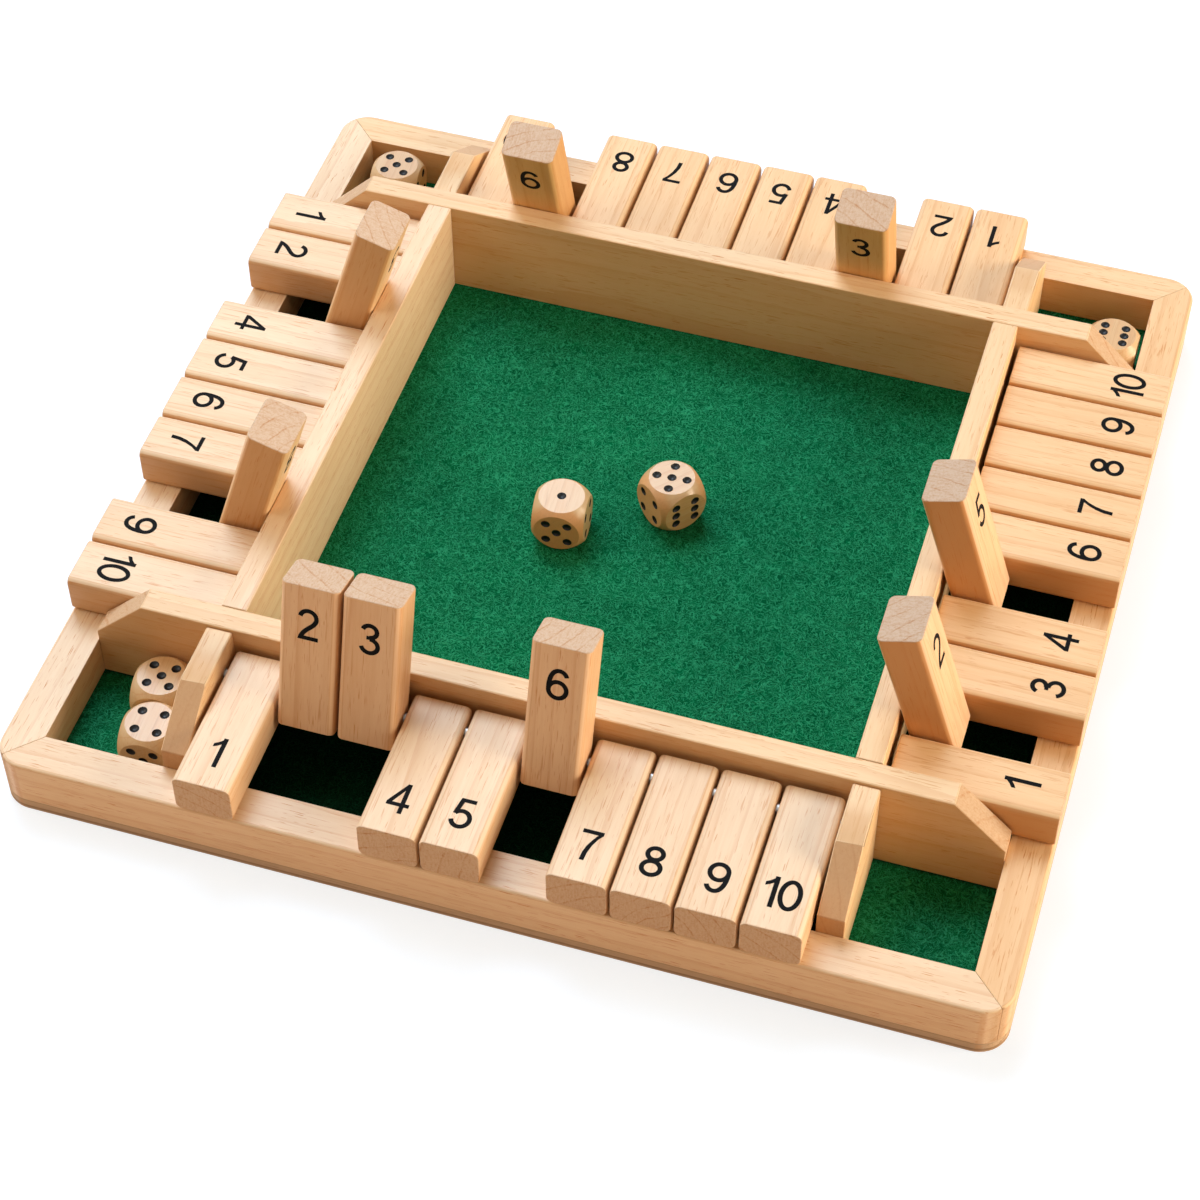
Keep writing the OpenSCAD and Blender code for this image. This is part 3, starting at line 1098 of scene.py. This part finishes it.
def plywood_material(plywood):
    """Thin plies: pale outside, with a dark one between that shows on the edge."""
    material, tree, shader = new_material("plywood")
    place, facing = grain_vectors(tree, Matrix.Rotation(math.radians(90), 3, "Z"), (0, 0, 0))
    timber = place_group(
        tree, "Timber", Grain_Vector=place, Face_Normal=facing, Pith=(8.0, 0.0, -160.0),
        Seed=7.5, Tone=0.0, Ring_Gap=6.0, Fleck_Amount=0.5,
        Pale=plywood.light_ply, Honey=shaded(plywood.light_ply, 0.82),
        Fleck=plywood.dark_ply, End_Pale=plywood.light_ply,
        End_Dark=plywood.dark_ply, Satin=0.6,
    )
    timber_surface(tree, shader, timber, 0.4, 0.15 * MM)

    # The dark ply and the glue line under the top, as shares of the thickness
    low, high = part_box("base_board")
    thick = (high.z - low.z) / MM
    level = split(tree, place)[2]
    lower = step_between(tree, level, thick * 0.16, thick * 0.24)
    upper = step_between(tree, level, thick * 0.46, thick * 0.40)
    glue_line = step_between(tree, level, thick * 0.93, thick * 0.98)
    dark = highest_of(tree, product_of(tree, lower, upper), glue_line)
    upright = split(tree, vector_of(tree, "ABSOLUTE", facing))[2]
    dark = product_of(tree, dark, step_between(tree, upright, 0.8, 0.4), 0.8)
    colour = blend_colours(tree, dark, timber["Colour"], plywood.dark_ply)
    tree.links.new(colour, shader.inputs["Base Color"])
    return material


class SHUTBOX_OT_felt(bpy.types.Operator):
    """Lays the felt on the base, with loose fibres on top"""

    bl_idname = "shutbox.felt"
    bl_label = "Felt"

    def execute(self, context):
        felt = context.scene.shut_the_box.felt
        sheet = felt_sheet(felt)
        fibres = felt_fibres(felt)
        for piece in (sheet, fibres):
            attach(piece, "frame")
        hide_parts("felt_lining")
        return {"FINISHED"}


def well_mask(tree, place):
    """1 on the floor of the wells below the four rows of tiles, where shade is painted on the felt,
    and 0 elsewhere.
    """
    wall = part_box("back_wall")[1].y
    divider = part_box("back_dividers")[1].x
    spread = split(tree, vector_of(tree, "ABSOLUTE", place))[:2]
    outer = highest_of(tree, *spread)
    inner = number_of(tree, "MINIMUM", *spread)
    beyond_wall = step_between(tree, outer, wall - WELL_BLUR, wall)
    before_divider = step_between(tree, inner, divider, divider - WELL_BLUR)
    return product_of(tree, beyond_wall, before_divider)


def felt_material(name, felt, deep, green, bump):
    """Green wool felt, with painted shade darkening it in the wells."""
    material, tree, shader = new_material(name)
    coordinates, place = board_place(tree, PER_METRE)
    made = place_group(
        tree, "Felt Nap", Place=place, Seed=2.0, Deep=deep, Green=green, Bright=felt.bright
    )
    # Painted shade: the felt in the wells is blended towards near black
    share = product_of(tree, well_mask(tree, coordinates), felt.well)
    colour = blend_colours(tree, share, made["Colour"], WELL_PAINTED_SHADE)
    tree.links.new(colour, shader.inputs["Base Color"])
    add_bump(tree, shader, made["Height"], bump, 0.3 * MM)
    shader.inputs["Roughness"].default_value = 0.95
    shader.inputs["Specular IOR Level"].default_value = 0.02
    return material


def hollow_at(x, y, layer, per_metre):
    """How deep a soft hollow is at one place, from 0 to 1."""
    return 0.5 + 0.5 * noise_at(Vector((x, y, layer)) * per_metre)


def felt_sheet(felt):
    """A closed sheet of felt with soft hollows in its upper side."""
    cells = 112
    side = cells + 1
    low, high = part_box("felt_lining")
    marks = [-felt.width / 2 + felt.width * step / cells for step in range(side)]
    upper = []
    for y in marks:
        for x in marks:
            dip = hollow_at(x, y, 0.3, 55) + 0.35 * hollow_at(x, y, 4.0, 240)
            upper.append((x, y, high.z - felt.hollow * dip))
    points = upper + [(x, y, low.z) for x, y, z in upper]
    layer = len(upper)
    faces = []
    for row in range(cells):
        for corner in range(row * side, row * side + cells):
            faces.append((corner, corner + 1, corner + side + 1, corner + side))
            base = corner + layer
            faces.append((base, base + side, base + side + 1, base + 1))
    rim = list(range(side))
    rim += [row * side + cells for row in range(1, side)]
    rim += [cells * side + column for column in range(cells - 1, -1, -1)]
    rim += [row * side for row in range(cells - 1, 0, -1)]
    for here, after in zip(rim, rim[1:] + rim[:1]):
        faces.append((here, here + layer, after + layer, after))
    material = felt_material("felt", felt, felt.deep, felt.green, 0.55)
    return mesh_piece("felt_sheet", points, faces, material, True)


def felt_fibres(felt):
    """Loose curled fibres on the open parts of the felt."""
    chance = random.Random(FIBRE_SEED)
    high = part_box("felt_lining")[1]
    edge = high.x - 1.5 * MM
    sunk, arch, width, steps = 0.08 * MM, 0.22 * MM, 0.22 * MM, 4
    points = []
    faces = []
    for _ in range(felt.fibre_count):
        x = chance.uniform(-edge, edge)
        y = chance.uniform(-edge, edge)
        heading = chance.uniform(0, math.tau)
        curl = chance.uniform(-1.1, 1.1)
        stride = chance.uniform(1.4 * MM, 3.6 * MM) / steps
        first = len(points)
        for step in range(steps + 1):
            rise = math.sin(math.pi * step / steps)
            spot = Vector((x, y, high.z - sunk + arch * rise * chance.uniform(0.5, 1.0)))
            taper = 0.35 + 0.65 * rise
            away = Vector((-math.sin(heading), math.cos(heading), 0)) * (width / 2 * taper)
            points += [spot + away, spot - away]
            x = max(-edge, min(edge, x + math.cos(heading) * stride))
            y = max(-edge, min(edge, y + math.sin(heading) * stride))
            heading += curl * chance.uniform(0.4, 1.0)
        for here in range(first, first + 2 * steps, 2):
            faces.append((here, here + 1, here + 3, here + 2))
    material = felt_material("felt_fibre", felt, felt.green, felt.bright, 0.0)
    return mesh_piece("felt_fibres", points, faces, material, True)


class SHUTBOX_OT_rods(bpy.types.Operator):
    """Finishes the steel rods that the tiles turn on"""

    bl_idname = "shutbox.rods"
    bl_label = "Rods"

    def execute(self, context):
        rod = context.scene.shut_the_box.rod
        dark = shaded(rod.steel, 0.8)
        material, shader = speck_material("drawn_steel", 700.0, 5.0, dark, rod.steel, (0.34, 0.48))
        shader.inputs["Metallic"].default_value = 1.0
        for name in RODS:
            dress(NODES[name], [material])
        return {"FINISHED"}


class SHUTBOX_OT_dice(bpy.types.Operator):
    """Finishes the dice and paints their pips"""

    bl_idname = "shutbox.dice"
    bl_label = "Dice"

    def execute(self, context):
        dice = context.scene.shut_the_box.dice
        paint = pip_material(dice)
        for index, (name, degrees) in enumerate(DIE_TURNS.items()):
            turn = Matrix.Rotation(math.radians(-degrees), 3, "Z")
            node = NODES[name]
            dress(node, [die_material(name, dice, turn, DIE_SEED + index), paint])
            paint_pips(node, turn, dice.flat_circle / 2)
        return {"FINISHED"}


def paint_pips(node, turn, reach):
    """Gives the second material to the faces of the pips."""
    low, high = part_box(node.name)
    centre = centre_of(node.name)
    half = (high.z - low.z) / 2
    for polygon in node.data.polygons:
        spot = turn @ (polygon.center - centre)
        out, *beside = sorted((abs(part) for part in spot), reverse=True)
        sunk = PIP_MARGIN < half - out < PIP_DEPTH
        polygon.material_index = int(sunk and math.hypot(*beside) < reach * PIP_SPREAD)


def die_material(name, dice, turn, seed):
    """Smooth polished wood for one die, with painted shade on its cut ends."""
    chance = random.Random(seed)
    material, tree, shader = new_material(f"wood_{name}")
    place, facing = grain_vectors(tree, turn, centre_of(name))
    # Painted shade: the cut ends are blended towards amber
    ends = Vector(dice.pale).lerp(Vector(dice.amber), DIE_END_SHADE.get(name, OTHER_DIE_END_SHADE))
    timber = place_group(
        tree, "Timber", Grain_Vector=place, Face_Normal=facing,
        Pith=(chance.uniform(10, 22), 0.0, chance.uniform(-24, -10)),
        Seed=chance.uniform(0, 90), Tone=chance.uniform(-0.1, 0.1), Ring_Gap=2.2,
        Fleck_Amount=0.35, Pale=dice.pale, Honey=dice.honey, Fleck=shaded(dice.honey, 0.75),
        End_Pale=ends[:], End_Dark=dice.honey, Satin=0.34,
    )
    tree.links.new(timber["Colour"], shader.inputs["Base Color"])
    timber_surface(tree, shader, timber, 0.2, 0.1 * MM)
    clear_coat(shader, 0.25, 0.2)
    return material


def pip_material(dice):
    """Black paint in the hollows of the dice."""
    light = shaded(dice.paint, 2.2)
    material, shader = speck_material("pip_paint", 1100.0, 9.0, dice.paint, light, (0.34, 0.46))
    shader.inputs["Specular IOR Level"].default_value = 0.26
    return material


class SHUTBOX_OT_studio(bpy.types.Operator):
    """Sets the camera, the lamps, the floor and the plain background"""

    bl_idname = "shutbox.studio"
    bl_label = "Studio"

    def execute(self, context):
        studio = context.scene.shut_the_box.studio
        place_camera(context.scene, studio)
        for lamp, (place, size, colour) in LAMPS.items():
            power = getattr(studio, f"{lamp}_power")
            add_lamp(f"{lamp}_lamp", place, size, power, colour)
        lay_floor(studio)
        light_room(context.scene, studio)
        return {"FINISHED"}


def place_camera(scene, studio):
    """The camera stands in front of the board, a little to its right."""
    camera = bpy.data.cameras.new("camera")
    camera.sensor_width = 36.0
    camera.lens = studio.lens
    camera.clip_start = 0.01
    holder = bpy.data.objects.new("camera", camera)
    holder.location = studio.camera_place
    holder.rotation_euler = studio.camera_turn
    scene.collection.objects.link(holder)
    scene.camera = holder


def add_lamp(name, place, size, power, colour):
    """A square area lamp that faces the middle of the board."""
    lamp = bpy.data.lights.new(name, "AREA")
    lamp.shape = "SQUARE"
    lamp.size = size
    lamp.energy = power
    lamp.color = colour
    holder = bpy.data.objects.new(name, lamp)
    holder.location = place
    holder.rotation_euler = Vector(place).to_track_quat("Z", "Y").to_euler()
    bpy.context.scene.collection.objects.link(holder)


def seen_directly(tree):
    """1 where the camera sees a surface itself, in a reflection or through glass."""
    path = tree.nodes.new("ShaderNodeLightPath")
    rays = ("Is Camera Ray", "Is Glossy Ray", "Is Transmission Ray")
    return highest_of(tree, *(path.outputs[ray] for ray in rays))


def lay_floor(studio):
    """A wide plain floor under the board."""
    material, tree, shader = new_material("pale_floor")
    seen = seen_directly(tree)
    shader.inputs["Roughness"].default_value = 0.9
    shader.inputs["Specular IOR Level"].default_value = 0.0
    own = [1.0 - studio.glow + lift for lift in FLOOR_LIFT]
    colour = blend_colours(tree, seen, studio.bounce, own)
    tree.links.new(colour, shader.inputs["Base Color"])
    glow = blend_colours(tree, seen, (0.0, 0.0, 0.0), [studio.glow] * 3)
    tree.links.new(glow, shader.inputs["Emission Color"])
    shader.inputs["Emission Strength"].default_value = 1.0
    signs = ((-1, -1), (1, -1), (1, 1), (-1, 1))
    corners = [(x * FLOOR_REACH, y * FLOOR_REACH, 0) for x, y in signs]
    mesh_piece("floor", corners, [(0, 1, 2, 3)], material)


def light_room(scene, studio):
    """Even light from all round, and a white background."""
    world = bpy.data.worlds.new("studio_room")
    world.use_nodes = True
    scene.world = world
    tree = world.node_tree
    background = tree.nodes["Background"]
    direction = tree.nodes.new("ShaderNodeTexCoord").outputs["Generated"]
    height = step_between(tree, split(tree, direction)[2], 0.0, 0.75)
    room = blend_colours(tree, height, studio.horizon, studio.ceiling)
    shown = blend_colours(tree, seen_directly(tree), room, (1.0, 1.0, 1.0))
    tree.links.new(shown, background.inputs["Color"])
    scene.view_settings.view_transform = "Standard"


class SHUTBOX_PT_panel(bpy.types.Panel):
    """Lists the finishes and their sizes and colours"""

    bl_idname = "SHUTBOX_PT_panel"
    bl_label = "Shut the Box"
    bl_space_type = "VIEW_3D"
    bl_region_type = "UI"
    bl_category = "Shut the Box"

    def draw(self, context):
        game = context.scene.shut_the_box
        for operator in OPERATORS:
            self.layout.operator(operator.bl_idname)
        for part in ("wood", "plywood", "felt", "numeral", "dice", "rod", "studio"):
            box = self.layout.box()
            box.label(text=part.capitalize())
            settings = getattr(game, part)
            for name in settings.__annotations__:
                box.prop(settings, name)


SETTINGS = (
    SHUTBOX_PG_wood,
    SHUTBOX_PG_plywood,
    SHUTBOX_PG_felt,
    SHUTBOX_PG_numeral,
    SHUTBOX_PG_dice,
    SHUTBOX_PG_rod,
    SHUTBOX_PG_studio,
    SHUTBOX_PG_game,
)
OPERATORS = (
    SHUTBOX_OT_finishes,
    SHUTBOX_OT_studio,
    SHUTBOX_OT_base,
    SHUTBOX_OT_board,
    SHUTBOX_OT_tiles,
    SHUTBOX_OT_numbers,
    SHUTBOX_OT_felt,
    SHUTBOX_OT_rods,
    SHUTBOX_OT_dice,
)
CLASSES = (*SETTINGS, *OPERATORS, SHUTBOX_PT_panel)


def register():
    """Adds the settings, the operators and the panel."""
    for item in CLASSES:
        bpy.utils.register_class(item)
    bpy.types.Scene.shut_the_box = PointerProperty(type=SHUTBOX_PG_game)


def unregister():
    """Takes them away again."""
    del bpy.types.Scene.shut_the_box
    for item in reversed(CLASSES):
        bpy.utils.unregister_class(item)


def main():
    """Builds everything in order."""
    register()
    bpy.ops.shutbox.finishes()
    bpy.ops.shutbox.studio()
    bpy.ops.shutbox.base()
    bpy.ops.shutbox.board()
    bpy.ops.shutbox.tiles()
    bpy.ops.shutbox.numbers()
    bpy.ops.shutbox.felt()
    bpy.ops.shutbox.rods()
    bpy.ops.shutbox.dice()


if __name__ == "__main__":
    main()
